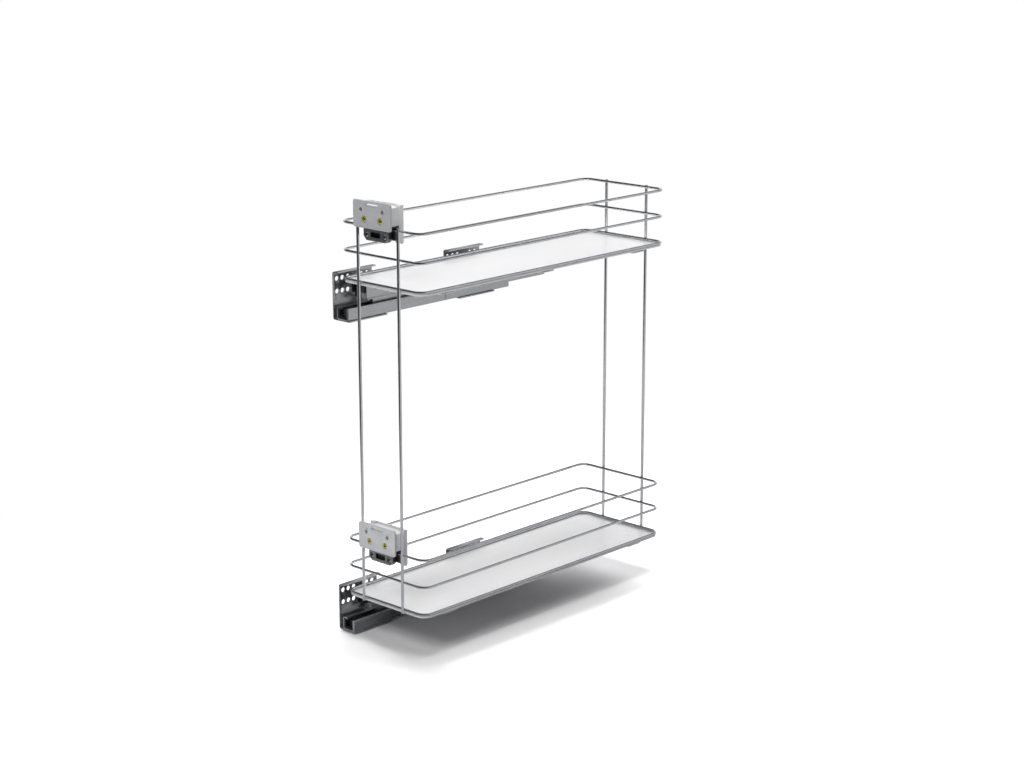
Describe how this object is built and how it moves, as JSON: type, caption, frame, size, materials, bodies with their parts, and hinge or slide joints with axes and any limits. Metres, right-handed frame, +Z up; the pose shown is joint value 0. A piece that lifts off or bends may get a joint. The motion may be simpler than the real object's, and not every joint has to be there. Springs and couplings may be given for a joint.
{
  "type": "pull-out cabinet basket",
  "caption": "Tiered pull-out basket for a narrow cabinet: white sheet shelves inside chrome wire rails, on side-mounted telescopic runners, with brackets for the front panel.",
  "frame": {"origin": "middle of the four fixing holes of the lower front wall plate, on the cabinet side's face", "axes": "+X from the cabinet side into the cabinet, +Y to the back (the basket pulls out along -Y), +Z up"},
  "size_m": [0.1519, 0.469, 0.5591],
  "materials": {
    "chrome_wire": "polished",
    "white_steel": "smooth white coating",
    "zinc_sheet": "zinc-plated, satin",
    "steel": "bright",
    "dark_steel": "black zinc",
    "yellow_zinc": "yellow zinc",
    "black_plastic": "moulded, matte",
    "dark_plastic": "moulded, matte",
    "ivory_plastic": "moulded, smooth",
    "grey_plastic": "moulded, fine grain",
    "light_plastic": "moulded, fine grain"
  },
  "bodies": {
    "cabinet_side": {"lower_front_wall_plate": "zinc_sheet", "lower_rear_wall_plate": "zinc_sheet", "lower_cabinet_rail": "zinc_sheet", "lower_rail_rivets": "steel", "lower_rail_front_guide": "black_plastic", "upper_front_wall_plate": "zinc_sheet", "upper_rear_wall_plate": "zinc_sheet", "upper_cabinet_rail": "zinc_sheet", "upper_rail_rivets": "steel", "upper_rail_front_guide": "black_plastic"},
    "basket": {"front_left_rod": "chrome_wire", "front_right_rod": "chrome_wire", "rear_left_rod": "chrome_wire", "rear_right_rod": "chrome_wire", "lower_drawer_profile": "zinc_sheet", "lower_drawer_rear_guide": "black_plastic", "lower_locating_pins": "steel", "lower_front_catch": "black_plastic", "lower_catch_pin": "steel", "lower_cross_channels": "white_steel", "lower_shelf_tray": "white_steel", "lower_shelf_rim": "chrome_wire", "lower_middle_rail": "chrome_wire", "lower_top_rail": "chrome_wire", "lower_bracket_housing": "light_plastic", "lower_clamp_pad": "black_plastic", "upper_drawer_profile": "zinc_sheet", "upper_drawer_rear_guide": "black_plastic", "upper_locating_pins": "steel", "upper_front_catch": "black_plastic", "upper_catch_pin": "steel", "upper_cross_channels": "white_steel", "upper_shelf_tray": "white_steel", "upper_shelf_rim": "chrome_wire", "upper_middle_rail": "chrome_wire", "upper_top_rail": "chrome_wire", "upper_bracket_housing": "light_plastic", "upper_clamp_pad": "black_plastic"},
    "lower_outer_roller_cage": {"lower_outer_cage": "ivory_plastic", "lower_outer_cage_rollers": "steel"},
    "lower_middle_member": {"lower_middle_profile": "zinc_sheet"},
    "lower_inner_roller_cage": {"lower_inner_cage": "ivory_plastic", "lower_inner_cage_rollers": "steel"},
    "lower_front_fixing": {"lower_front_plate": "grey_plastic", "lower_nut_plate": "steel", "lower_adjusting_screws": "yellow_zinc"},
    "lower_wire_clamp": {"lower_clamp_jaw": "dark_plastic", "lower_clamp_screws": "dark_steel"},
    "lower_release_lever": {"lower_catch_lever": "black_plastic"},
    "upper_outer_roller_cage": {"upper_outer_cage": "ivory_plastic", "upper_outer_cage_rollers": "steel"},
    "upper_middle_member": {"upper_middle_profile": "zinc_sheet"},
    "upper_inner_roller_cage": {"upper_inner_cage": "ivory_plastic", "upper_inner_cage_rollers": "steel"},
    "upper_front_fixing": {"upper_front_plate": "grey_plastic", "upper_nut_plate": "steel", "upper_adjusting_screws": "yellow_zinc"},
    "upper_wire_clamp": {"upper_clamp_jaw": "dark_plastic", "upper_clamp_screws": "dark_steel"},
    "upper_release_lever": {"upper_catch_lever": "black_plastic"}
  },
  "joints": [
    {"name": "basket_slide", "type": "slide", "parent": "cabinet_side", "child": "basket", "axis": [0, -1, 0], "range_m": [0, 0.42]},
    {"name": "lower_outer_cage_slide", "type": "slide", "parent": "cabinet_side", "child": "lower_outer_roller_cage", "axis": [0, -1, 0], "range_m": [0, 0.105]},
    {"name": "lower_middle_slide", "type": "slide", "parent": "cabinet_side", "child": "lower_middle_member", "axis": [0, -1, 0], "range_m": [0, 0.21]},
    {"name": "lower_inner_cage_slide", "type": "slide", "parent": "cabinet_side", "child": "lower_inner_roller_cage", "axis": [0, -1, 0], "range_m": [0, 0.315]},
    {"name": "lower_front_height", "type": "slide", "parent": "basket", "child": "lower_front_fixing", "axis": [0, 0, 1], "range_m": [-0.002, 0.002]},
    {"name": "lower_clamp_opening", "type": "slide", "parent": "basket", "child": "lower_wire_clamp", "axis": [0, -1, 0], "range_m": [0, 0.0025]},
    {"name": "lower_lever_turn", "type": "hinge", "parent": "basket", "child": "lower_release_lever", "pos_m": [0.0201, -0.008, 0.0015], "axis": [-1, 0, 0], "range_deg": [0, 12], "stiffness_Nm_per_rad": 0.02, "springref_deg": -5.73},
    {"name": "upper_outer_cage_slide", "type": "slide", "parent": "cabinet_side", "child": "upper_outer_roller_cage", "axis": [0, -1, 0], "range_m": [0, 0.105]},
    {"name": "upper_middle_slide", "type": "slide", "parent": "cabinet_side", "child": "upper_middle_member", "axis": [0, -1, 0], "range_m": [0, 0.21]},
    {"name": "upper_inner_cage_slide", "type": "slide", "parent": "cabinet_side", "child": "upper_inner_roller_cage", "axis": [0, -1, 0], "range_m": [0, 0.315]},
    {"name": "upper_front_height", "type": "slide", "parent": "basket", "child": "upper_front_fixing", "axis": [0, 0, 1], "range_m": [-0.002, 0.002]},
    {"name": "upper_clamp_opening", "type": "slide", "parent": "basket", "child": "upper_wire_clamp", "axis": [0, -1, 0], "range_m": [0, 0.0025]},
    {"name": "upper_lever_turn", "type": "hinge", "parent": "basket", "child": "upper_release_lever", "pos_m": [0.0201, -0.008, 0.4035], "axis": [-1, 0, 0], "range_deg": [0, 12], "stiffness_Nm_per_rad": 0.02, "springref_deg": -5.73}
  ],
  "couplings": [
    {"joint": "lower_outer_cage_slide", "follows": "basket_slide", "ratio": 0.25},
    {"joint": "lower_middle_slide", "follows": "basket_slide", "ratio": 0.5},
    {"joint": "lower_inner_cage_slide", "follows": "basket_slide", "ratio": 0.75},
    {"joint": "upper_outer_cage_slide", "follows": "basket_slide", "ratio": 0.25},
    {"joint": "upper_middle_slide", "follows": "basket_slide", "ratio": 0.5},
    {"joint": "upper_inner_cage_slide", "follows": "basket_slide", "ratio": 0.75}
  ]
}
